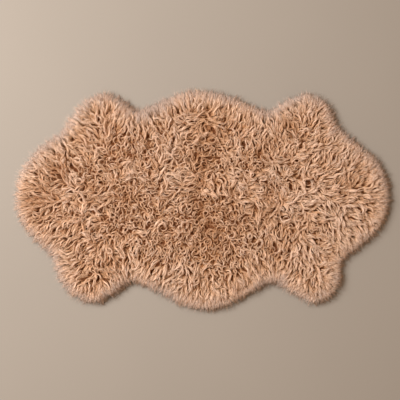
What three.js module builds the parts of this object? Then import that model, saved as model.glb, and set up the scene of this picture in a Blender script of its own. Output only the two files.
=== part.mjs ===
// A faux fur rug with the scalloped outline of a joined sheepskin rug: two pile fabric panels, sewn
// end to end by one seam across the middle. It lies flat, pile up. Millimetres, +Z up, +X along the
// rug; the origin is on the floor under the middle of the rug's box.
import * as THREE from "three";
import { mergeVertices } from "three/addons/utils/BufferGeometryUtils.js";

// Driving dimensions
const PILE_TOP = 46; // height of the lying pile above the floor
const RIM_HEIGHT = 7; // height of the drooping tips where they end
const RIM_ROUND = 85; // how far in from the tips the pile is full height
const SEAM_X = 4; // the seam lies a little to the right of the middle
const SEAM_GAP = 0.3; // between the two panels' solids
const SEAM_TROUGH = 13; // how far the parted pile sinks along the seam
const SEAM_HALF_WIDTH = 26; // of that trough, where it is 1/e as deep
const SPINE_END = 500; // where each panel's spine ends, from the seam

// Fineness of the facets
const RIM_POINTS = 88; // steps along the rim of one panel, an even number
const RINGS_IN_ROUND = 6; // rings of facets across the rounded rim
const RINGS_TO_SPINE = 3; // rings of facets from there to the panel's spine
const SAME_POINT = 0.001; // corners nearer than this are one

const PILE_COLOUR = "#c79a79";

// The line of the pile's tips round each panel, from the top of the seam to its bottom, seen from above.
const RIGHT_RIM = [
  { at: "top bulge",         x: SEAM_X, y:  446 },
  { at: "top bulge",         x:    110, y:  423 },
  { at: "top bulge",         x:    190, y:  387 },
  { at: "top hollow",        x:    270, y:  362 },
  { at: "upper lobe",        x:    345, y:  408 },
  { at: "upper lobe",        x:    425, y:  432 },
  { at: "upper lobe",        x:    505, y:  396 },
  { at: "upper side hollow", x:    552, y:  300 },
  { at: "end",               x:    640, y:  222 },
  { at: "end",               x:    722, y:  146 },
  { at: "end",               x:    760, y:   10 },
  { at: "end",               x:    724, y: -105 },
  { at: "end",               x:    640, y: -186 },
  { at: "lower side hollow", x:    566, y: -250 },
  { at: "lower lobe",        x:    562, y: -330 },
  { at: "lower lobe",        x:    520, y: -392 },
  { at: "lower lobe",        x:    446, y: -418 },
  { at: "lower lobe",        x:    366, y: -374 },
  { at: "bottom hollow",     x:    285, y: -334 },
  { at: "bottom bulge",      x:    180, y: -384 },
  { at: "bottom bulge",      x:     90, y: -430 },
  { at: "bottom bulge",      x: SEAM_X, y: -446 },
];
const LEFT_RIM = [
  { at: "top bulge",         x: SEAM_X, y:  446 },
  { at: "top bulge",         x:    -85, y:  436 },
  { at: "top bulge",         x:   -180, y:  397 },
  { at: "top hollow",        x:   -266, y:  364 },
  { at: "upper lobe",        x:   -322, y:  400 },
  { at: "upper lobe",        x:   -395, y:  434 },
  { at: "upper lobe",        x:   -468, y:  414 },
  { at: "upper lobe",        x:   -530, y:  348 },
  { at: "upper side hollow", x:   -577, y:  274 },
  { at: "end",               x:   -670, y:  208 },
  { at: "end",               x:   -738, y:  122 },
  { at: "end",               x:   -760, y:   16 },
  { at: "end",               x:   -744, y:  -74 },
  { at: "end",               x:   -682, y: -160 },
  { at: "lower side hollow", x:   -610, y: -230 },
  { at: "lower lobe",        x:   -592, y: -304 },
  { at: "lower lobe",        x:   -536, y: -380 },
  { at: "lower lobe",        x:   -442, y: -417 },
  { at: "lower lobe",        x:   -365, y: -382 },
  { at: "bottom hollow",     x:   -286, y: -330 },
  { at: "bottom bulge",      x:   -180, y: -373 },
  { at: "bottom bulge",      x:    -75, y: -427 },
  { at: "bottom bulge",      x: SEAM_X, y: -446 },
];

// The tips of one panel in even steps. side is 1 for the right panel and -1 for the left.
function panelTips(rimTable, side) {
  const corners = rimTable.map(({ x, y }) => {
    const seamShift = x === SEAM_X ? (side * SEAM_GAP) / 2 : 0;
    return new THREE.Vector3(x + seamShift, y, 0);
  });
  return new THREE.CatmullRomCurve3(corners).getSpacedPoints(RIM_POINTS);
}

// Rings of a panel's upper surface: how far in from the tips, as a share of the way, and how high.
function rings(wayToSpine) {
  const made = [];
  for (let k = 0; k <= RINGS_IN_ROUND; k += 1) {
    const turn = ((k / RINGS_IN_ROUND) * Math.PI) / 2;
    made.push({
      inward: (RIM_ROUND * (1 - Math.cos(turn))) / wayToSpine,
      height: RIM_HEIGHT + (PILE_TOP - RIM_HEIGHT) * Math.sin(turn),
    });
  }
  const rounded = made[RINGS_IN_ROUND].inward;
  for (let k = 1; k <= RINGS_TO_SPINE; k += 1) {
    made.push({ inward: rounded + ((1 - rounded) * k) / RINGS_TO_SPINE, height: PILE_TOP });
  }
  return made;
}

function seamTrough(x) {
  const away = (x - SEAM_X) / SEAM_HALF_WIDTH;
  return SEAM_TROUGH * Math.exp(-away * away);
}

// One closed panel: a flat underside, a low rim and the rounded pile above it. The spine is a line
// from the seam into the panel and back, which the rings of facets close in on.
function panelGeometry(rimTable, side) {
  const tips = panelTips(rimTable, side);
  const seam = tips[0].x;
  const half = RIM_POINTS / 2;
  const spine = tips.map((_, i) => {
    const along = 1 - Math.abs(i - half) / half;
    return new THREE.Vector3(seam + side * SPINE_END * along, 0, 0);
  });
  const pile = tips.map((tip, i) =>
    rings(tip.distanceTo(spine[i])).map(({ inward, height }) => {
      const p = tip.clone().lerp(spine[i], inward);
      p.z = height - seamTrough(p.x) * ((height - RIM_HEIGHT) / (PILE_TOP - RIM_HEIGHT));
      return p;
    }),
  );

  const corners = [];
  const face = (a, b, c) => corners.push(...(side > 0 ? [a, b, c] : [c, b, a]));
  const quad = (a, b, c, d) => {
    face(a, b, c);
    face(a, c, d);
  };
  const last = pile[0].length - 1;
  for (let i = 0; i < RIM_POINTS; i += 1) {
    const here = pile[i];
    const next = pile[i + 1];
    quad(tips[i], here[0], next[0], tips[i + 1]); // rim
    for (let k = 0; k < last; k += 1) {
      quad(here[k], here[k + 1], next[k + 1], next[k]);
    }
    quad(tips[i], tips[i + 1], spine[i + 1], spine[i]); // underside
  }

  // The flat side along the seam: a fan from the foot of the spine to the pile above it.
  const foot = spine[0];
  const seamTop = pile[0];
  const seamBottom = pile[RIM_POINTS];
  face(foot, seamTop[0], tips[0]);
  face(foot, tips[RIM_POINTS], seamBottom[0]);
  for (let k = 0; k < last; k += 1) {
    face(foot, seamTop[k + 1], seamTop[k]);
    face(foot, seamBottom[k], seamBottom[k + 1]);
  }

  return mergeVertices(new THREE.BufferGeometry().setFromPoints(corners), SAME_POINT);
}

const pileFabric = new THREE.MeshStandardMaterial({
  color: PILE_COLOUR,
  roughness: 0.95,
  metalness: 0,
});

const rug = new THREE.Group();
const leftPanel = new THREE.Mesh(panelGeometry(LEFT_RIM, -1), pileFabric);
leftPanel.name = "fur_panel_left";
const rightPanel = new THREE.Mesh(panelGeometry(RIGHT_RIM, 1), pileFabric);
rightPanel.name = "fur_panel_right";
rug.add(leftPanel, rightPanel);

// The box of the two panels together is centred on the origin.
const middle = new THREE.Box3().setFromObject(rug).getCenter(new THREE.Vector3());
for (const panel of rug.children) {
  panel.position.set(-middle.x, -middle.y, 0);
}

export default rug;
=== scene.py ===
"""Looks of a faux fur rug: two cut panels of pile fabric, sewn end to end, with a deep curly pile.

Metres, +Z up, +X along the rug. The pile is laid by its distance from the line of its tips, which is
the outline of the frame's panels: it falls outward round the rim, and curls every way in the middle.
"""
import math

import bmesh
import bpy
import numpy as np
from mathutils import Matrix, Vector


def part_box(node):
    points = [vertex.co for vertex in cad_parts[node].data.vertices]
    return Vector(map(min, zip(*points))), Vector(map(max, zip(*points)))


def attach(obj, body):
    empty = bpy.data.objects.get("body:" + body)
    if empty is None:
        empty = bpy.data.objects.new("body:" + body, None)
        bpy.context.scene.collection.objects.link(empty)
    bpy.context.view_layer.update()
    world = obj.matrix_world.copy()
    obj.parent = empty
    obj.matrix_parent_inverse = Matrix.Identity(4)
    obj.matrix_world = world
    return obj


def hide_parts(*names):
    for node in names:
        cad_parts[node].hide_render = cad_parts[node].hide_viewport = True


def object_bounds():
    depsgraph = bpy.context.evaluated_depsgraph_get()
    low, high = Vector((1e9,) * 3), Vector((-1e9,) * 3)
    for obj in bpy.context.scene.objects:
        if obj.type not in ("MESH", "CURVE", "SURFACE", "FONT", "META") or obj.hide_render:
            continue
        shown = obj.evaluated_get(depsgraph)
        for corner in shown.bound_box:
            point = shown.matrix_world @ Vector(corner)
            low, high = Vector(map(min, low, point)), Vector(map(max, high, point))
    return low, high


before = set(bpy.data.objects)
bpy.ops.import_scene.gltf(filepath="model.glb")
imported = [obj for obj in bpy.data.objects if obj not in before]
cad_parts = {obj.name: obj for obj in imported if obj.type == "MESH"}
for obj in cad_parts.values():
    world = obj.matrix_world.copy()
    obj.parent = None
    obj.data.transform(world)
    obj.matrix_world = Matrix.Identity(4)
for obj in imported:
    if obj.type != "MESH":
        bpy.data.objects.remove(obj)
cad_low, cad_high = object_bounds()

# Places taken from the frame
PILE_TOP = cad_high[2]
SEAM_X = (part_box("fur_panel_left")[1].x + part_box("fur_panel_right")[0].x) / 2

# The pile's lying form: a little fuller at the rim and along the seam than the frame's plain panels
RIM_HEIGHT = 0.009
RIM_ROUND = 0.070
RIM_FULLNESS = 3.0      # 2 is a quarter round, more is squarer
SEAM_TROUGH = 0.005
SEAM_HALF_WIDTH = 0.030

# Ground cloth
TIP_REACH = 0.040       # from the cloth's cut edge out to the line of the tips
CLOTH_THICKNESS = 0.0022
CLOTH_LIFT = 0.0008     # the cloth's underside above the floor
SEAM_GAP = 0.0004
KNIT_RIB = 0.0040       # from one rib of its knit to the next
KNIT_ROW = 0.0032       # from one row of loops to the next

# Seam, sewn from underneath
STITCH_STEP = 0.006     # from one stitch to the next
STITCH_REACH = 0.0055   # into each panel
THREAD_HALF_WIDTH = 0.0006
THREAD_HALF_HEIGHT = 0.0004
THREAD_SIDES = 6
THREAD_PLY = 0.0009     # from one turn of the twisted thread to the next

# Camera, lights and floor
CAMERA_HEIGHT = 2.28
LENS = 50.0
SENSOR = 36.0
PHOTO_CENTRE = (-0.012, 0.002)   # what the middle of the picture looks down on
KEY_PLACE = (-3.2, 1.4, 3.7)
KEY_SIZE = 3.2
KEY_POWER = 430
KEY_COLOUR = (0.95, 0.98, 1.0)
ROOM_COLOUR = (1.0, 0.73, 0.49, 1.0)
ROOM_STRENGTH = 0.38
FLOOR_SIZE = 14
FLOOR_COLOUR = (0.321, 0.271, 0.226, 1.0)

SAME_POINT = 1e-5       # corners nearer than this are one
TINY = 1e-9             # keeps a division from failing where there is no slope
SLOPE_REACH = 0.030     # over which the way in from the rim is averaged

# From one rise to the next of each unevenness of the pile
UNEVENNESS = {
    "which way it strays near the rim": 0.08,
    "which way it strays in the middle": 0.10,
    "curliness": 0.16,
    "tint": 0.14,
    "where the rim's locks end": 0.07,
    "height": 0.045,
    "which kind of lock": 0.035,
}

rng = np.random.default_rng(7)


def add_camera():
    data = bpy.data.cameras.new("camera")
    data.lens = LENS
    data.sensor_width = SENSOR
    camera = bpy.data.objects.new("camera", data)
    camera.location = (*PHOTO_CENTRE, CAMERA_HEIGHT)
    bpy.context.scene.collection.objects.link(camera)
    bpy.context.scene.camera = camera


def added(name, mesh):
    """A new piece with that mesh."""
    piece = bpy.data.objects.new(name, mesh)
    bpy.context.scene.collection.objects.link(piece)
    return piece


def only_selected(piece):
    bpy.ops.object.select_all(action="DESELECT")
    piece.select_set(True)
    bpy.context.view_layer.objects.active = piece


def merged_copy(node):
    """The shape of one of the frame's panels, with its doubled corners made one."""
    shape = bmesh.new()
    shape.from_mesh(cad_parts[node].data)
    bmesh.ops.remove_doubles(shape, verts=shape.verts, dist=SAME_POINT)
    return shape


def underside_rim(node):
    """The line of the tips round one panel, from one end of the seam to the other, as x and y."""
    shape = merged_copy(node)
    shape.normal_update()
    on_floor = {face for face in shape.faces if face.normal.z < -0.9}
    edges = [e for e in shape.edges if len(set(e.link_faces) & on_floor) == 1]
    beside = {}
    for edge in edges:
        a, b = edge.verts
        beside.setdefault(a, []).append(b)
        beside.setdefault(b, []).append(a)
    seam_points = [v for v in beside if abs(v.co.x - SEAM_X) < 0.001]
    start = max(seam_points, key=lambda v: v.co.y)
    last = None
    here = start
    walk = []
    while here is not None:
        walk.append((here.co.x, here.co.y))
        at_seam = here in seam_points
        onward = [v for v in beside[here] if v is not last and not (at_seam and v in seam_points)]
        last = here
        here = onward[0] if onward and onward[0] is not start else None
    shape.free()
    return walk


def rug_outline():
    """The line of the tips round the whole rug, clockwise."""
    left = underside_rim("fur_panel_left")
    right = underside_rim("fur_panel_right")
    return np.array(right + left[::-1])


class Field:
    """A value for each place on the floor, held on a fine grid and read between its points."""

    STEP = 0.004
    MARGIN = 0.08

    def __init__(self, values):
        self.values = values

    @staticmethod
    def places():
        x = np.arange(cad_low[0] - Field.MARGIN, cad_high[0] + Field.MARGIN, Field.STEP)
        y = np.arange(cad_low[1] - Field.MARGIN, cad_high[1] + Field.MARGIN, Field.STEP)
        return np.stack(np.meshgrid(x, y), -1)

    def at(self, x, y):
        u = (x - cad_low[0] + Field.MARGIN) / Field.STEP
        v = (y - cad_low[1] + Field.MARGIN) / Field.STEP
        rows, columns = self.values.shape
        u = np.clip(u, 0, columns - 1.001)
        v = np.clip(v, 0, rows - 1.001)
        i = u.astype(int)
        j = v.astype(int)
        fu = u - i
        fv = v - j
        low = self.values[j, i] * (1 - fu) + self.values[j, i + 1] * fu
        high = self.values[j + 1, i] * (1 - fu) + self.values[j + 1, i + 1] * fu
        return low * (1 - fv) + high * fv


def inward_distance(outline):
    """How far each place lies inside the line of the tips, negative outside it."""
    places = Field.places()
    nearest = np.full(places.shape[:2], np.inf)
    inside = np.zeros(places.shape[:2], bool)
    for a, b in zip(outline, np.roll(outline, -1, axis=0)):
        along = b - a
        share = ((places - a) @ along / (along @ along)).clip(0, 1)
        gap = places - a - share[..., None] * along
        nearest = np.minimum(nearest, np.hypot(gap[..., 0], gap[..., 1]))
        spans = (a[1] > places[..., 1]) != (b[1] > places[..., 1])
        rise = b[1] - a[1] if b[1] != a[1] else 1.0
        crossing = a[0] + (places[..., 1] - a[1]) * along[0] / rise
        inside ^= spans & (places[..., 0] < crossing)
    return np.where(inside, nearest, -nearest)


def blurred(values, reach):
    """values averaged over about reach metres each way."""
    steps = np.arange(-3 * reach, 3 * reach + Field.STEP, Field.STEP)
    weights = np.exp(-(steps / reach) ** 2 / 2)
    weights /= weights.sum()
    pad = len(weights) // 2
    for axis in (0, 1):
        wide = np.pad(values, [(pad, pad) if a == axis else (0, 0) for a in (0, 1)], mode="edge")
        values = np.apply_along_axis(lambda line: np.convolve(line, weights, "valid"), axis, wide)
    return values


def ripple(x, y, wavelength, waves=9):
    """A soft random unevenness over the rug, about -1 to 1."""
    total = np.zeros(np.shape(x))
    for _ in range(waves):
        angle = rng.uniform(0, 2 * math.pi)
        number = 2 * math.pi / (wavelength * rng.uniform(0.7, 1.5))
        phase = rng.uniform(0, 2 * math.pi)
        total += np.sin((x * math.cos(angle) + y * math.sin(angle)) * number + phase)
    return total / math.sqrt(waves / 2) / 1.6


def smooth(x, low, high):
    t = np.clip((x - low) / (high - low), 0, 1)
    return t * t * (3 - 2 * t)


def pile_height(x, y):
    """How high the lying pile reaches: rounded at the rim, full in the middle, parted at the seam."""
    inward = np.clip(distance.at(x, y) / RIM_ROUND, 0, 1)
    full = RIM_HEIGHT + (PILE_TOP - RIM_HEIGHT) * np.sqrt(1 - (1 - inward) ** RIM_FULLNESS)
    trough = SEAM_TROUGH * np.exp(-((x - SEAM_X) / SEAM_HALF_WIDTH) ** 2)
    return full - trough * (full - RIM_HEIGHT) / (PILE_TOP - RIM_HEIGHT)


def drawn_in(x, y, reach):
    """Places moved straight in from the rim, by reach metres each."""
    across = slope_x.at(x, y)
    along = slope_y.at(x, y)
    steep = np.hypot(across, along) + TINY
    return x + reach * across / steep, y + reach * along / steep


# Pile

STRAND_SIDES = 3
STRAND_FLATNESS = 0.6        # how thick a strand is for its width
LEAN_AT_ROOT = 38            # degrees from upright
LEAN_MORE = 47               # on top of that, a third of the way along
MOST_TRIANGLES = 190000      # in one piece

# Where a strand takes its colour: a column for its tint, and a height in it for how deep it lies, which
# is painted shade: the deeper a ring lies in the pile, the darker and redder it is
TINT_COLUMNS = 16
BODY_COLUMNS = 12            # the others are for the rim
COLUMN_MARGIN = 0.06
MIDDLE_TINT = 0.64
TINT_SPREAD = 0.06
# Painted shade of depth: a ring this far up the pile's height is darkest, and one this span higher is
# palest
DEEPEST_LEVEL = 0.25
LEVEL_SPAN = 0.95

# Kinds of lock, in metres and radians; two values are the least and the most of that kind.
# crown: how far in from the tips a lock's crown may be. rings: how far along a strand each ring is.
# top: which ring is at the crown. gather: how much of its width a lock keeps at its tip.
# depth: how much lower than the rest the lowest lock lies, as a share of the height.
CURLY = {
    "spacing": 0.0122, "crown": (0.070, 1.0), "strands": 3,
    "rings": (0, 0.28, 0.42, 0.55, 0.68, 0.80, 0.91, 1), "top": 4,
    "length": (0.034, 0.050), "half_width": (0.0016, 0.0034), "gather": 0.40,
    "width": (0.0020, 0.0042), "curl": (1.2, 5.0), "wave": (0.0006, 0.0016), "stray": 0.60,
    "tip_drop": 0.30, "depth": 0.34, "lift": 0.0,
}
WAVY = {
    "spacing": 0.0169, "crown": (0.024, 1.0), "strands": 6,
    "rings": (0, 0.30, 0.50, 0.68, 0.85, 1), "top": 2,
    "length": (0.036, 0.064), "half_width": (0.0030, 0.0090), "gather": 0.20,
    "width": (0.0020, 0.0044), "curl": (0.0, 1.7), "wave": (0.0016, 0.0044), "stray": 0.26,
    "tip_drop": 0.20, "depth": 0.28, "lift": 0.0,
}
RIM = {
    "spacing": 0.0130, "crown": (0.006, 0.070), "strands": 8,
    "rings": (0, 0.30, 0.55, 0.78, 1), "top": 2,
    "length": (0.042, 0.074), "half_width": (0.0060, 0.0100), "gather": 0.30,
    "width": (0.0014, 0.0028), "curl": (0.0, 0.7), "wave": (0.0006, 0.0018), "stray": 0.18,
    "tip_drop": 0.0, "depth": 0.14, "lift": 0.003,
}
WISPS = {
    "spacing": 0.0054, "crown": (0.002, 0.026), "strands": 1,
    "rings": (0, 0.40, 0.70, 1), "top": 1,
    "length": (0.046, 0.072), "half_width": (0.0, 0.0), "gather": 1.0,
    "width": (0.0008, 0.0017), "curl": (0.0, 0.6), "wave": (0.0004, 0.0018), "stray": 0.22,
    "tip_drop": 0.0, "depth": 0.20, "lift": 0.012,
}
KINDS = {"curly_pile": CURLY, "wavy_pile": WAVY, "rim_pile": RIM, "rim_wisps": WISPS}
CROWN_JITTER = 0.21          # of the spacing, how far a crown strays from its even row

# Where the pile is darker and redder than the rest, or paler (a negative value), as places on the rug
SHADES = [
    # The seam's spots are painted shade, darkening the parting along the seam
    {"at": "upper seam",        "x":  0.00, "y":  0.29, "reach": 0.060, "darker":  0.20},
    {"at": "upper seam",        "x":  0.01, "y":  0.16, "reach": 0.040, "darker":  0.40},
    {"at": "middle seam",       "x":  0.00, "y":  0.08, "reach": 0.045, "darker":  0.24},
    {"at": "middle seam",       "x": -0.03, "y":  0.00, "reach": 0.045, "darker":  0.28},
    {"at": "lower seam",        "x":  0.01, "y": -0.10, "reach": 0.050, "darker":  0.26},
    {"at": "lower seam",        "x":  0.04, "y": -0.18, "reach": 0.060, "darker":  0.24},
    {"at": "beside the seam",   "x":  0.14, "y": -0.03, "reach": 0.080, "darker":  0.18},
    {"at": "beside the seam",   "x":  0.27, "y": -0.05, "reach": 0.055, "darker":  0.20},
    {"at": "above the middle",  "x":  0.10, "y":  0.28, "reach": 0.090, "darker":  0.14},
    {"at": "upper right lobe",  "x":  0.27, "y":  0.20, "reach": 0.060, "darker":  0.22},
    {"at": "upper right lobe",  "x":  0.35, "y":  0.30, "reach": 0.040, "darker":  0.22},
    {"at": "right end",         "x":  0.60, "y":  0.08, "reach": 0.050, "darker":  0.22},
    {"at": "lower right lobe",  "x":  0.35, "y": -0.16, "reach": 0.038, "darker":  0.16},
    {"at": "upper left lobe",   "x": -0.46, "y":  0.24, "reach": 0.050, "darker":  0.14},
    # The left end's spots are partly the fur's own browner colour and partly painted shade against the
    # key light, which falls fullest on the left rim
    {"at": "left end",          "x": -0.59, "y":  0.11, "reach": 0.055, "darker":  0.24},
    {"at": "left end",          "x": -0.68, "y":  0.02, "reach": 0.070, "darker":  0.30},
    {"at": "left end",          "x": -0.62, "y": -0.09, "reach": 0.060, "darker":  0.18},
    {"at": "left half",         "x": -0.45, "y": -0.14, "reach": 0.120, "darker":  0.08},
    {"at": "left half",         "x": -0.44, "y":  0.03, "reach": 0.050, "darker":  0.20},
    {"at": "left half",         "x": -0.31, "y":  0.01, "reach": 0.045, "darker":  0.18},
    {"at": "lower left lobe",   "x": -0.38, "y": -0.27, "reach": 0.055, "darker":  0.18},
    {"at": "left of the seam",  "x": -0.19, "y": -0.18, "reach": 0.050, "darker":  0.12},
    {"at": "top hollow",        "x": -0.21, "y":  0.36, "reach": 0.090, "darker": -0.12},
    {"at": "left of the seam",  "x": -0.15, "y":  0.15, "reach": 0.070, "darker": -0.12},
    {"at": "right half",        "x":  0.28, "y":  0.11, "reach": 0.045, "darker": -0.12},
    {"at": "right half",        "x":  0.43, "y": -0.02, "reach": 0.055, "darker": -0.12},
    {"at": "right end",         "x":  0.57, "y": -0.10, "reach": 0.080, "darker": -0.12},
    {"at": "lower right lobe",  "x":  0.47, "y": -0.26, "reach": 0.080, "darker": -0.12},
    {"at": "bottom bulge",      "x": -0.10, "y": -0.30, "reach": 0.090, "darker": -0.12},
    {"at": "lower left hollow", "x": -0.27, "y": -0.20, "reach": 0.055, "darker": -0.12},
]

# Where the pile curls tightly, or lies smooth (a negative value)
CURLS = [
    {"at": "below the middle",  "x": -0.12, "y": -0.12, "reach": 0.150, "curlier":  0.90},
    {"at": "below the middle",  "x":  0.09, "y": -0.16, "reach": 0.110, "curlier":  0.90},
    {"at": "above the middle",  "x":  0.08, "y":  0.13, "reach": 0.080, "curlier":  0.50},
    {"at": "upper left",        "x": -0.27, "y":  0.20, "reach": 0.120, "curlier":  0.70},
    {"at": "left half",         "x": -0.34, "y": -0.02, "reach": 0.100, "curlier":  0.50},
    {"at": "right half",        "x":  0.32, "y":  0.06, "reach": 0.090, "curlier":  0.30},
    {"at": "left of the seam",  "x": -0.13, "y":  0.09, "reach": 0.070, "curlier": -0.80},
    {"at": "right of the seam", "x":  0.13, "y":  0.05, "reach": 0.070, "curlier": -0.80},
    {"at": "right end",         "x":  0.52, "y":  0.02, "reach": 0.160, "curlier": -0.60},
    {"at": "left end",          "x": -0.60, "y":  0.02, "reach": 0.130, "curlier": -0.40},
]


def spots(table, value, x, y):
    """What the places of a table add up to at x and y."""
    total = np.zeros(np.shape(x))
    for spot in table:
        away = ((x - spot["x"]) ** 2 + (y - spot["y"]) ** 2) / spot["reach"] ** 2
        total += spot[value] * np.exp(-away)
    return total


def scattered(spacing, low, high):
    """Places about that far apart, whose distance from the line of the tips is low to high."""
    row_step = spacing * math.sqrt(3) / 2
    rows = np.arange(cad_low[1], cad_high[1], row_step)
    columns = np.arange(cad_low[0], cad_high[0], spacing)
    x, y = np.meshgrid(columns, rows)
    x = x + (np.arange(len(rows)) % 2)[:, None] * spacing / 2
    x = (x + rng.normal(0, CROWN_JITTER * spacing, x.shape)).ravel()
    y = (y + rng.normal(0, CROWN_JITTER * spacing, y.shape)).ravel()
    inward = distance.at(x, y)
    kept = (inward > low) & (inward < high)
    return x[kept], y[kept]


def curliness(x, y):
    """How tightly the pile curls, about 1 at the most, and below 0 where it lies smooth."""
    return 0.35 * ripples.at(x, y) + spots(CURLS, "curlier", x, y)


def crowns(kind):
    """Where a kind's crowns are: curly and wavy locks share the middle, inside the rim's own."""
    x, y = scattered(kind["spacing"], *kind["crown"])
    inward = distance.at(x, y)
    uneven = mottle.at(x, y)
    past_rim = inward - 0.036 - 0.022 * ragged.at(x, y) - 0.014 * uneven
    curls = curliness(x, y) + 0.30 * uneven - 2.0 * (1 - smooth(inward, 0.070, 0.120))
    kept = np.ones(len(x), bool)
    if kind is CURLY:
        kept = curls > 0.07
    elif kind is WAVY:
        kept = (curls < 0.15) & (past_rim > -0.003)
    elif kind is RIM:
        kept = past_rim < 0.003
    return x[kept], y[kept]


def nap(x, y):
    """The way the pile is brushed: outward, away from the seam, and astray in the middle."""
    inward = distance.at(x, y)
    beside_seam = np.exp(-((x - SEAM_X) / 0.040) ** 2)
    parting = beside_seam * smooth(inward, 0.08, 0.16) * smooth(y, -0.10, 0.04)
    side = np.where(x > SEAM_X, 1.0, -1.0)
    east = -slope_x.at(x, y) + 0.9 * parting * side
    north = -slope_y.at(x, y) - 0.6 * parting
    astray = 0.6 * smooth(inward, 0.03, 0.10) * astray_wide.at(x, y)
    astray += 1.5 * smooth(inward, 0.10, 0.24) * astray_near.at(x, y)
    return np.arctan2(north, east) + astray


def rim_painted_light_and_shade(x, y, darker):
    """How far the rim's pile moves up the tint ramp, most at the left and least where a spot is darker:
    painted light, the thin fringe paler and greyer as if lit through, and at the left painted shade
    too, as it reaches the ramp's dimmest columns against the key light falling fullest there.
    """
    across = slope_x.at(x, y)
    along = slope_y.at(x, y)
    toward_left = (0.9 * across - 0.4 * along) / (np.hypot(across, along) + TINY)
    at_rim = 1 - smooth(distance.at(x, y), 0.010, 0.075)
    return (0.26 + 0.08 * toward_left) * at_rim * (1 - smooth(darker, 0.0, 0.2))


def locks(kind):
    """Each lock's crown and how it lies."""
    x, y = crowns(kind)
    n = len(x)
    calm = smooth(-curliness(x, y), 0.35, 0.90)
    depth = rng.uniform(0, 1, n) * np.clip(0.85 + 0.5 * curliness(x, y), 0.4, 1.15)
    unevenness = smooth(distance.at(x, y), 0.02, 0.10)
    darker = spots(SHADES, "darker", x, y) if kind is not WISPS else np.zeros(n)
    # Painted shade: a lock is tinted darker and redder the deeper it lies and where the pile dips
    # (clumps), paler where it rises; the patches and the spread are tone that differs at random
    tint = MIDDLE_TINT + rim_painted_light_and_shade(x, y, darker) - 0.08 * depth - darker
    tint += 0.04 * clumps.at(x, y) + 0.07 * patches.at(x, y)
    return {
        "x": x,
        "y": y,
        "heading": nap(x, y) + rng.normal(0, kind["stray"], n) * (1 - 0.5 * calm),
        "curl": rng.choice([-1.0, 1.0], n) * rng.uniform(*kind["curl"], n) * (1 - 0.6 * calm),
        "length": rng.uniform(*kind["length"], n),
        "half_width": rng.uniform(*kind["half_width"], n),
        "layer": 1.0 - kind["depth"] * depth + 0.10 * clumps.at(x, y) * unevenness,
        "lift": rng.uniform(0, kind["lift"], n),
        "tip_drop": rng.uniform(0, kind["tip_drop"], n),
        "wave": rng.uniform(*kind["wave"], n),
        "wave_turns": rng.uniform(0.9, 1.9, n),
        "wave_phase": rng.uniform(0, 2 * math.pi, n),
        "tint": tint + rng.normal(0, TINT_SPREAD, n),
    }


def strands(kind):
    """Several strands to a lock, each near to how its lock lies, gathered towards its tip."""
    lock = locks(kind)
    s = {name: np.repeat(values, kind["strands"]) for name, values in lock.items()}
    n = len(s["x"])
    spread = np.linspace(-1, 1, kind["strands"]) if kind["strands"] > 1 else np.zeros(1)
    s["aside"] = np.tile(spread, len(lock["x"])) + rng.normal(0, 0.18, n)
    s["along"] = rng.normal(0, 0.0035, n)
    s["heading"] = s["heading"] + rng.normal(0, 0.07, n)
    s["curl"] = s["curl"] + rng.normal(0, 0.15, n)
    s["length"] = s["length"] * rng.uniform(0.84, 1.12, n)
    s["layer"] = s["layer"] * rng.uniform(0.95, 1.03, n) - 0.14 * s["aside"] ** 2
    s["wave_phase"] = s["wave_phase"] + rng.normal(0, 0.30, n)
    thin, thick = kind["width"]
    s["width"] = thin + (thick - thin) * rng.uniform(0, 1, n) ** 1.4
    s["roll"] = rng.uniform(-0.4, 0.4, n)
    # Painted shade: a lock's outer strands, which lie lower, are tinted darker
    s["tint"] = s["tint"] - 0.08 * s["aside"] ** 2 + rng.normal(0, TINT_SPREAD, n)
    return s


def column(values):
    """One value for each strand, ready to meet a row of rings."""
    return values[:, None]


def strand_paths(s, kind):
    """Where the middle of each ring of each strand lies, seen from above."""
    t = np.array(kind["rings"])
    crown = kind["top"]
    lean = np.radians(LEAN_AT_ROOT) + np.radians(LEAN_MORE) * smooth(t, 0, 0.35)
    heading = column(s["heading"]) + column(s["curl"]) * (t ** 1.4 - t[crown] ** 1.4)
    step = column(s["length"]) * np.diff(t, prepend=0) * np.sin(lean)
    turned = 2 * math.pi * column(s["wave_turns"]) * t + column(s["wave_phase"])
    swing = column(s["wave"]) * np.sin(turned)
    gather = np.interp(t, [0, 0.4, 1], [0.8, 1.0, kind["gather"]])
    aside = swing + column(s["half_width"] * s["aside"]) * gather
    along = column(s["along"])
    x = np.cumsum(np.cos(heading) * step, 1)
    y = np.cumsum(np.sin(heading) * step, 1)
    x += column(s["x"] - x[:, crown]) + along * np.cos(heading) - aside * np.sin(heading)
    y += column(s["y"] - y[:, crown]) + along * np.sin(heading) + aside * np.cos(heading)

    # A root that would miss the cloth takes its strand inward with it.
    missed = np.clip(TIP_REACH + 0.001 - distance.at(x[:, 0], y[:, 0]), 0, None)
    root_x, root_y = drawn_in(x[:, 0], y[:, 0], missed)
    return x + column(root_x - x[:, 0]), y + column(root_y - y[:, 0])


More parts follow.
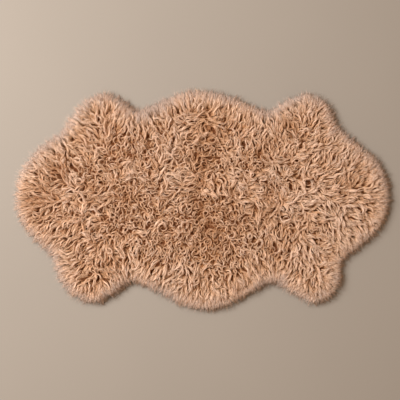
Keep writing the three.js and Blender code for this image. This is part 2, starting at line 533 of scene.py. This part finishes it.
def strand_rings(s, kind):
    """Each ring's middle, the ways across and up, its half width, and how high in the pile it is."""
    x, y = strand_paths(s, kind)
    t = np.array(kind["rings"])
    foot = CLOTH_LIFT + CLOTH_THICKNESS
    rise = 0.42 + 0.58 * np.sin(np.clip(t / 0.85, 0, 1) * math.pi / 2)
    drop = 1 - column(s["tip_drop"]) * smooth(t, 0.55, 1.0)
    top = pile_height(x, y) * column(s["layer"]) * drop + column(s["lift"])
    taper = np.interp(t, [0, 0.15, 0.5, 0.8, 1.0], [0.9, 1.1, 1.0, 0.75, 0.15])
    half = column(s["width"]) / 2 * taper
    z = foot + (top - foot) * rise - half * 0.7
    z = np.maximum(z, half + 0.0006)
    level = drop * rise * (1.0 if kind is WISPS else column(s["layer"]))
    middle = np.stack([x, y, z], -1)
    forward = np.gradient(middle, axis=1)
    forward /= np.linalg.norm(forward, axis=2, keepdims=True)
    flat = np.hypot(forward[..., 0], forward[..., 1]) + TINY
    across = np.stack([-forward[..., 1] / flat, forward[..., 0] / flat, np.zeros(x.shape)], -1)
    up = np.cross(forward, across)
    roll = s["roll"][:, None, None]
    side = across * np.cos(roll) + up * np.sin(roll)
    upward = up * np.cos(roll) - across * np.sin(roll)
    return middle, side, upward, half, level


def strand_faces(rings):
    """One strand's faces, and for each of their corners how far round it is and on which ring."""
    sides = STRAND_SIDES
    last = rings - 1
    faces = []
    round_about = []
    ring = []
    for k in range(last - 1):
        for i in range(sides):
            j = (i + 1) % sides
            faces.append([k * sides + i, k * sides + j, (k + 1) * sides + j, (k + 1) * sides + i])
            round_about += [i, i + 1, i + 1, i]
            ring += [k, k, k + 1, k + 1]
    for i in range(sides):
        j = (i + 1) % sides
        faces.append([(last - 1) * sides + i, (last - 1) * sides + j, last * sides])
        round_about += [i, i + 1, i + 0.5]
        ring += [last - 1, last - 1, last]
    faces.append(list(range(sides))[::-1])
    round_about += list(range(sides))[::-1]
    ring += [0] * sides
    return faces, np.array(round_about) / sides, np.array(ring)


def strand_mesh(name, s, kind):
    """All of these strands as one mesh: closed tapered tubes that end in a point."""
    middle, across, up, half, level = strand_rings(s, kind)
    n, rings = half.shape
    sides = STRAND_SIDES
    around = np.arange(sides) * 2 * math.pi / sides + math.pi / 2
    thick = half[:, :-1, None, None]
    ring = (
        middle[:, :-1, None]
        + across[:, :-1, None] * (np.cos(around)[:, None] * thick)
        + up[:, :-1, None] * (np.sin(around)[:, None] * thick * STRAND_FLATNESS)
    )
    each = (rings - 1) * sides + 1
    places = np.concatenate([ring.reshape(n, each - 1, 3), middle[:, -1:]], 1)
    places[..., 2] = np.maximum(places[..., 2], CLOTH_LIFT)

    faces, round_about, corner_ring = strand_faces(rings)
    sizes = np.array([len(face) for face in faces])
    index = np.concatenate(faces)[None] + column(np.arange(n)) * each
    starts = np.concatenate([[0], np.cumsum(np.tile(sizes, n))[:-1]])
    tint_column = (s["tint"] * TINT_COLUMNS).astype(int).clip(0, TINT_COLUMNS - 1)
    if kind is CURLY or kind is WAVY:
        tint_column = tint_column.clip(0, BODY_COLUMNS - 1)
    u = (column(tint_column) + COLUMN_MARGIN + (1 - 2 * COLUMN_MARGIN) * round_about) / TINT_COLUMNS
    # Painted shade: the map's height is how high in the pile each ring lies, so deeper rings take
    # darker, redder colour
    painted_depth_shade = np.clip((level - DEEPEST_LEVEL) / LEVEL_SPAN, 0, 1)
    v = (0.01 + 0.93 * painted_depth_shade + 0.05 * np.array(kind["rings"]))[:, corner_ring]

    mesh = bpy.data.meshes.new(name)
    mesh.vertices.add(n * each)
    mesh.vertices.foreach_set("co", places.astype(np.float32).ravel())
    mesh.loops.add(index.size)
    mesh.loops.foreach_set("vertex_index", index.astype(np.int32).ravel())
    mesh.polygons.add(len(starts))
    mesh.polygons.foreach_set("loop_start", starts.astype(np.int32))
    mesh.update(calc_edges=True)
    layer = mesh.uv_layers.new(name="OFBake")
    layer.uv.foreach_set("vector", np.stack([u, v], -1).astype(np.float32).ravel())
    mesh.shade_smooth()
    return added(name, mesh)


def chosen(s, mask):
    return {name: values[mask] for name, values in s.items()}


def divided(s, kind):
    """These strands in as few parts as a piece's size allows, one beyond the other along the rug."""
    segments = len(kind["rings"]) - 1
    triangles = len(s["x"]) * STRAND_SIDES * (2 * segments - 1)
    parts = math.ceil(triangles / MOST_TRIANGLES)
    cuts = np.quantile(s["x"], np.linspace(0, 1, parts + 1)[1:-1])
    place = np.searchsorted(cuts, s["x"])
    return [chosen(s, place == part) for part in range(parts)]


# Underfur: the short dense fibres that the locks stand in, coloured deep red-brown as painted shade for
# the gaps between the locks

UNDERFUR_FACET = 0.0085
UNDERFUR_INWARD = 0.024     # where it ends, from the line of the tips
UNDERFUR_SHARE = 0.48       # of the pile's height
UNDERFUR_TUFT = 0.0035      # how far its tufts stand up and sink
UNDERFUR_LIFT = 0.0002      # above the cloth


def underfur(name, panel):
    """The panel's own lying form, lower, drawn in from the tips and tufted on top."""
    shape = merged_copy(panel)
    mesh = bpy.data.meshes.new(name)
    shape.to_mesh(mesh)
    shape.free()
    piece = added(name, mesh)
    remesh = piece.modifiers.new("even facets", "REMESH")
    remesh.mode = "VOXEL"
    remesh.voxel_size = UNDERFUR_FACET
    only_selected(piece)
    bpy.ops.object.modifier_apply(modifier=remesh.name)

    mesh = piece.data
    places = np.empty(len(mesh.vertices) * 3)
    mesh.vertices.foreach_get("co", places)
    x, y, z = places.reshape(-1, 3).T
    height = pile_height(x, y)
    share = np.clip(z / height, 0, 1)
    x, y = drawn_in(x, y, UNDERFUR_INWARD * (1 - smooth(distance.at(x, y), 0.0, 0.12)))
    foot = CLOTH_LIFT + CLOTH_THICKNESS + UNDERFUR_LIFT
    tuft = UNDERFUR_TUFT * rng.uniform(-1, 1, len(x)) * smooth(z, 0.01, 0.04)
    top = np.maximum(UNDERFUR_SHARE * height * share + tuft, foot)
    z = np.where(share < 0.25, foot, top)
    mesh.vertices.foreach_set("co", np.stack([x, y, z], 1).astype(np.float32).ravel())
    mesh.update()
    bpy.ops.object.mode_set(mode="EDIT")
    bpy.ops.mesh.select_all(action="SELECT")
    bpy.ops.mesh.normals_make_consistent(inside=False)
    bpy.ops.mesh.select_all(action="DESELECT")
    bpy.ops.object.mode_set(mode="OBJECT")

    # The flat underside is made of few large faces.
    for face in mesh.polygons:
        face.select = face.normal.z < -0.999
    bpy.ops.object.mode_set(mode="EDIT")
    bpy.ops.mesh.dissolve_limited(angle_limit=math.radians(0.5))
    bpy.ops.mesh.select_all(action="SELECT")
    bpy.ops.mesh.remove_doubles(threshold=UNDERFUR_FACET / 20)
    bpy.ops.mesh.dissolve_degenerate(threshold=UNDERFUR_FACET / 20)
    bpy.ops.object.mode_set(mode="OBJECT")
    mesh.shade_smooth()
    return piece


# Materials

def new_material(name):
    material = bpy.data.materials.new(name)
    material.use_nodes = True
    nodes = material.node_tree.nodes
    return material, nodes, material.node_tree.links, nodes["Principled BSDF"]


def colour_ramp(nodes, stops):
    ramp = nodes.new("ShaderNodeValToRGB")
    elements = ramp.color_ramp.elements
    while len(elements) < len(stops):
        elements.new(0.5)
    for element, (place, colour) in zip(elements, stops):
        element.position = place
        element.color = (*colour, 1.0)
    return ramp


def stretched(nodes, links, vector, scale):
    mapping = nodes.new("ShaderNodeMapping")
    mapping.inputs["Scale"].default_value = scale
    links.new(vector, mapping.inputs["Vector"])
    return mapping.outputs["Vector"]


def noise(nodes, links, vector, scale, detail):
    texture = nodes.new("ShaderNodeTexNoise")
    texture.inputs["Scale"].default_value = scale
    texture.inputs["Detail"].default_value = detail
    links.new(vector, texture.inputs["Vector"])
    return texture.outputs["Fac"]


def wave(nodes, links, vector, axis, period):
    """Soft ridges across that axis, one to each period in metres."""
    texture = nodes.new("ShaderNodeTexWave")
    texture.bands_direction = axis
    texture.inputs["Scale"].default_value = math.pi / (10 * period)
    texture.inputs["Distortion"].default_value = 0.3
    links.new(vector, texture.inputs["Vector"])
    return texture.outputs["Fac"]


def between(nodes, links, value, at_low, at_high):
    """A value of 0.3 to 0.7 turned into at_low to at_high."""
    span = nodes.new("ShaderNodeMapRange")
    span.inputs["From Min"].default_value = 0.3
    span.inputs["From Max"].default_value = 0.7
    span.inputs["To Min"].default_value = at_low
    span.inputs["To Max"].default_value = at_high
    links.new(value, span.inputs["Value"])
    return span.outputs["Result"]


def shade(nodes, links, colour, value, at_low, at_high):
    """The colour made at_low to at_high times as bright where the value is 0.3 to 0.7."""
    times = nodes.new("ShaderNodeVectorMath")
    times.operation = "SCALE"
    links.new(colour, times.inputs[0])
    links.new(between(nodes, links, value, at_low, at_high), times.inputs["Scale"])
    return times.outputs["Vector"]


def bump(nodes, links, height, strength, depth):
    node = nodes.new("ShaderNodeBump")
    node.inputs["Strength"].default_value = strength
    node.inputs["Distance"].default_value = depth
    links.new(height, node.inputs["Height"])
    return node.outputs["Normal"]


def pile_material():
    material, nodes, links, shader = new_material("pile_fibre")
    uv = nodes.new("ShaderNodeUVMap")
    uv.uv_map = "OFBake"
    parts = nodes.new("ShaderNodeSeparateXYZ")
    links.new(uv.outputs["UV"], parts.inputs["Vector"])
    # Painted shade of depth, read on the map's height: dark red deep in the pile, pale peach at its top
    along = colour_ramp(nodes, [
        (0.00, (0.320, 0.090, 0.020)),
        (0.25, (0.590, 0.290, 0.124)),
        (0.50, (0.806, 0.506, 0.323)),
        (0.68, (0.838, 0.559, 0.389)),
        (0.90, (0.843, 0.574, 0.421)),
    ])
    links.new(parts.outputs["Y"], along.inputs["Fac"])
    # Tint columns: up to 0.6 darker, redder tone and painted shade; above 0.72 the rim's columns,
    # painted light, paler and greyer, dimming towards 1.0 as painted shade against the key light on the
    # left rim
    tint = colour_ramp(nodes, [
        (0.00, (0.50, 0.29, 0.15)),
        (0.30, (0.77, 0.67, 0.57)),
        (0.60, (0.98, 0.98, 0.98)),
        (0.72, (0.99, 1.03, 1.08)),
        (0.80, (0.94, 1.00, 1.11)),
        (0.90, (0.84, 0.91, 1.03)),
        (1.00, (0.71, 0.78, 0.91)),
    ])
    links.new(parts.outputs["X"], tint.inputs["Fac"])
    mix = nodes.new("ShaderNodeMix")
    mix.data_type = "RGBA"
    mix.blend_type = "MULTIPLY"
    mix.inputs["Factor"].default_value = 1.0
    links.new(along.outputs["Color"], mix.inputs["A"])
    links.new(tint.outputs["Color"], mix.inputs["B"])
    lengthways = stretched(nodes, links, uv.outputs["UV"], (260, 7, 1))
    streaks = noise(nodes, links, lengthways, scale=1, detail=3)
    broad = stretched(nodes, links, uv.outputs["UV"], (16, 5, 1))
    uneven = noise(nodes, links, broad, scale=1, detail=2)
    shaded = shade(nodes, links, mix.outputs["Result"], streaks, 0.87, 1.13)
    shaded = shade(nodes, links, shaded, uneven, 0.94, 1.06)
    links.new(shaded, shader.inputs["Base Color"])
    links.new(between(nodes, links, streaks, 0.80, 0.60), shader.inputs["Roughness"])
    links.new(bump(nodes, links, streaks, strength=0.35, depth=0.0003), shader.inputs["Normal"])
    shader.inputs["Specular IOR Level"].default_value = 0.04
    shader.inputs["Sheen Weight"].default_value = 0.08
    shader.inputs["Sheen Roughness"].default_value = 0.5
    shader.inputs["Sheen Tint"].default_value = (0.95, 0.74, 0.56, 1.0)
    return material


def underfur_painted_shade_material():
    # Painted shade: a deep red-brown, the shade seen in the gaps between the locks
    material, nodes, links, shader = new_material("underfur")
    place = nodes.new("ShaderNodeTexCoord").outputs["Object"]
    tufts = noise(nodes, links, place, scale=160, detail=4)
    tone = colour_ramp(nodes, [
        (0.30, (0.105, 0.032, 0.011)),
        (0.55, (0.150, 0.050, 0.018)),
        (0.75, (0.215, 0.080, 0.032)),
    ])
    links.new(tufts, tone.inputs["Fac"])
    links.new(tone.outputs["Color"], shader.inputs["Base Color"])
    links.new(between(nodes, links, tufts, 0.95, 0.80), shader.inputs["Roughness"])
    links.new(bump(nodes, links, tufts, strength=0.8, depth=0.003), shader.inputs["Normal"])
    shader.inputs["Specular IOR Level"].default_value = 0.1
    return material


def cloth_material():
    material, nodes, links, shader = new_material("ground_cloth")
    place = nodes.new("ShaderNodeTexCoord").outputs["Object"]
    ribs = wave(nodes, links, place, "X", KNIT_RIB)
    rows = wave(nodes, links, place, "Y", KNIT_ROW)
    loops = nodes.new("ShaderNodeMath")
    loops.operation = "MULTIPLY"
    links.new(ribs, loops.inputs[0])
    links.new(rows, loops.inputs[1])
    knit = loops.outputs["Value"]
    wear = noise(nodes, links, place, scale=14, detail=5)
    tone = colour_ramp(nodes, [
        (0.00, (0.330, 0.175, 0.095)),
        (0.60, (0.520, 0.310, 0.185)),
        (1.00, (0.590, 0.370, 0.235)),
    ])
    links.new(knit, tone.inputs["Fac"])
    worn = shade(nodes, links, tone.outputs["Color"], wear, 0.82, 1.18)
    links.new(worn, shader.inputs["Base Color"])
    links.new(between(nodes, links, wear, 0.96, 0.84), shader.inputs["Roughness"])
    links.new(bump(nodes, links, knit, strength=0.6, depth=0.0006), shader.inputs["Normal"])
    shader.inputs["Specular IOR Level"].default_value = 0.2
    shader.inputs["Sheen Weight"].default_value = 0.15
    shader.inputs["Sheen Roughness"].default_value = 0.5
    return material


def thread_material():
    material, nodes, links, shader = new_material("sewing_thread")
    place = nodes.new("ShaderNodeTexCoord").outputs["Object"]
    plies = wave(nodes, links, place, "DIAGONAL", THREAD_PLY)
    fuzz = noise(nodes, links, place, scale=900, detail=2)
    dye = nodes.new("ShaderNodeRGB")
    dye.outputs["Color"].default_value = (0.560, 0.390, 0.270, 1.0)
    twisted = shade(nodes, links, dye.outputs["Color"], plies, 0.72, 1.12)
    links.new(shade(nodes, links, twisted, fuzz, 0.90, 1.10), shader.inputs["Base Color"])
    links.new(between(nodes, links, fuzz, 0.70, 0.55), shader.inputs["Roughness"])
    links.new(bump(nodes, links, plies, strength=0.5, depth=0.0002), shader.inputs["Normal"])
    shader.inputs["Specular IOR Level"].default_value = 0.3
    shader.inputs["Sheen Weight"].default_value = 0.1
    return material


def floor_material():
    material, nodes, links, shader = new_material("floor")
    place = nodes.new("ShaderNodeTexCoord").outputs["Object"]
    cloudy = noise(nodes, links, place, scale=0.8, detail=3)
    paint = nodes.new("ShaderNodeRGB")
    paint.outputs["Color"].default_value = FLOOR_COLOUR
    painted = shade(nodes, links, paint.outputs["Color"], cloudy, 0.97, 1.03)
    links.new(painted, shader.inputs["Base Color"])
    links.new(between(nodes, links, cloudy, 0.80, 0.90), shader.inputs["Roughness"])
    shader.inputs["Specular IOR Level"].default_value = 0.2
    return material


# Ground cloth and its seam

def ground_cloth(name, side, outline):
    """One panel of the cloth that the pile grows on, cut inside the tips and at the seam."""
    corners = [(x, y, CLOTH_LIFT) for x, y in outline[::-1]]
    mesh = bpy.data.meshes.new(name)
    mesh.from_pydata(corners, [], [list(range(len(corners)))])
    piece = added(name, mesh)
    only_selected(piece)
    bpy.ops.object.mode_set(mode="EDIT")
    bpy.ops.mesh.select_all(action="SELECT")
    bpy.ops.mesh.inset(thickness=TIP_REACH, depth=0, use_boundary=True)
    bpy.ops.mesh.select_all(action="INVERT")
    bpy.ops.mesh.delete(type="VERT")
    bpy.ops.mesh.select_all(action="SELECT")
    bpy.ops.mesh.bisect(
        plane_co=(SEAM_X + side * SEAM_GAP / 2, 0, 0),
        plane_no=(side, 0, 0),
        clear_inner=True,
    )
    bpy.ops.mesh.select_all(action="SELECT")
    bpy.ops.mesh.extrude_region_move(TRANSFORM_OT_translate={"value": (0, 0, CLOTH_THICKNESS)})
    bpy.ops.mesh.select_all(action="SELECT")
    bpy.ops.mesh.normals_make_consistent(inside=False)
    bpy.ops.object.mode_set(mode="OBJECT")
    return piece


def tube_faces(first, rings, sides):
    """The faces of a closed tube whose corners are numbered from first, ring after ring."""
    faces = []
    for k in range(rings - 1):
        here = first + k * sides
        for i in range(sides):
            j = (i + 1) % sides
            faces.append([here + i, here + j, here + sides + j, here + sides + i])
    last = first + (rings - 1) * sides
    faces.append([first + i for i in range(sides)])
    faces.append([last + i for i in range(sides)])
    return faces


def seam_stitches(name):
    """A zigzag of thread under the seam: each stitch a flattened tube whose ends go into the cloth."""
    y = np.arange(cad_low[1], cad_high[1], STITCH_STEP)
    y = y[distance.at(np.full(len(y), SEAM_X), y) > TIP_REACH + STITCH_STEP]
    t = np.array([-1, -0.84, 0, 0.84, 1])
    into_cloth = CLOTH_THICKNESS / 2
    z = CLOTH_LIFT + np.array([into_cloth, -0.0001, -0.0002, -0.0001, into_cloth])
    side = np.where(np.arange(len(y)) % 2, 1.0, -1.0)
    x = SEAM_X + column(side) * t * STITCH_REACH
    y = column(y) + t * STITCH_STEP / 2
    middle = np.stack([x, y, np.broadcast_to(z, x.shape)], -1)
    slant = math.atan2(STITCH_STEP / 2, STITCH_REACH)
    across = np.stack([-side * math.sin(slant), np.full(len(side), math.cos(slant)), 0 * side], -1)
    around = np.linspace(0, 2 * math.pi, THREAD_SIDES, endpoint=False)[:, None]
    wide = np.cos(around) * THREAD_HALF_WIDTH * across[:, None, None]
    high = np.sin(around) * THREAD_HALF_HEIGHT * np.array([0, 0, 1])
    places = (middle[:, :, None] + wide + high).reshape(-1, 3)
    faces = []
    for first in range(0, len(places), len(t) * THREAD_SIDES):
        faces += tube_faces(first, len(t), THREAD_SIDES)
    mesh = bpy.data.meshes.new(name)
    mesh.from_pydata(places.tolist(), [], faces)
    piece = added(name, mesh)
    only_selected(piece)
    bpy.ops.object.mode_set(mode="EDIT")
    bpy.ops.mesh.select_all(action="SELECT")
    bpy.ops.mesh.normals_make_consistent(inside=False)
    bpy.ops.object.mode_set(mode="OBJECT")
    mesh.shade_smooth()
    return piece


def add_stage():
    bpy.ops.mesh.primitive_plane_add(size=FLOOR_SIZE, location=(0, 0, 0))
    floor = bpy.context.object
    floor.name = "floor"
    floor.data.materials.append(floor_material())


def add_lights():
    data = bpy.data.lights.new("key", "AREA")
    data.shape = "DISK"
    data.size = KEY_SIZE
    data.energy = KEY_POWER
    data.color = KEY_COLOUR
    key = bpy.data.objects.new("key", data)
    key.location = KEY_PLACE
    key.rotation_euler = (-key.location).to_track_quat("-Z", "Y").to_euler()
    bpy.context.scene.collection.objects.link(key)
    world = bpy.data.worlds.new("studio")
    bpy.context.scene.world = world
    world.use_nodes = True
    background = world.node_tree.nodes["Background"]
    background.inputs["Color"].default_value = ROOM_COLOUR
    background.inputs["Strength"].default_value = ROOM_STRENGTH


def belongs(piece, panel):
    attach(piece, "root")
    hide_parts(panel)


add_camera()
outline = rug_outline()
distance = Field(inward_distance(outline))
slope_y, slope_x = (Field(values) for values in np.gradient(blurred(distance.values, SLOPE_REACH)))
astray_wide, astray_near, ripples, patches, ragged, clumps, mottle = (
    Field(ripple(*np.moveaxis(Field.places(), -1, 0), wavelength)) for wavelength in UNEVENNESS.values()
)
grown = {name: strands(kind) for name, kind in KINDS.items()}
fibre = pile_material()
painted_shade_fibre = underfur_painted_shade_material()
cloth = cloth_material()

for panel, side in (("left", -1), ("right", 1)):
    node = f"fur_panel_{panel}"
    pieces = []
    for name, kind in KINDS.items():
        own = chosen(grown[name], np.sign(grown[name]["x"] - SEAM_X) == side)
        for number, part in enumerate(divided(own, kind), 1):
            pieces.append(strand_mesh(f"{name}_{panel}_{number}", part, kind))
    for piece in pieces:
        piece.data.materials.append(fibre)
    under = underfur(f"underfur_{panel}", node)
    under.data.materials.append(painted_shade_fibre)
    pieces.append(under)
    for piece in pieces:
        belongs(piece, node)
    ground = ground_cloth(f"ground_cloth_{panel}", side, outline)
    ground.data.materials.append(cloth)
    belongs(ground, node)

stitches = seam_stitches("seam_stitches")
stitches.data.materials.append(thread_material())
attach(stitches, "root")

add_stage()
add_lights()
bpy.context.scene.view_settings.view_transform = "Standard"
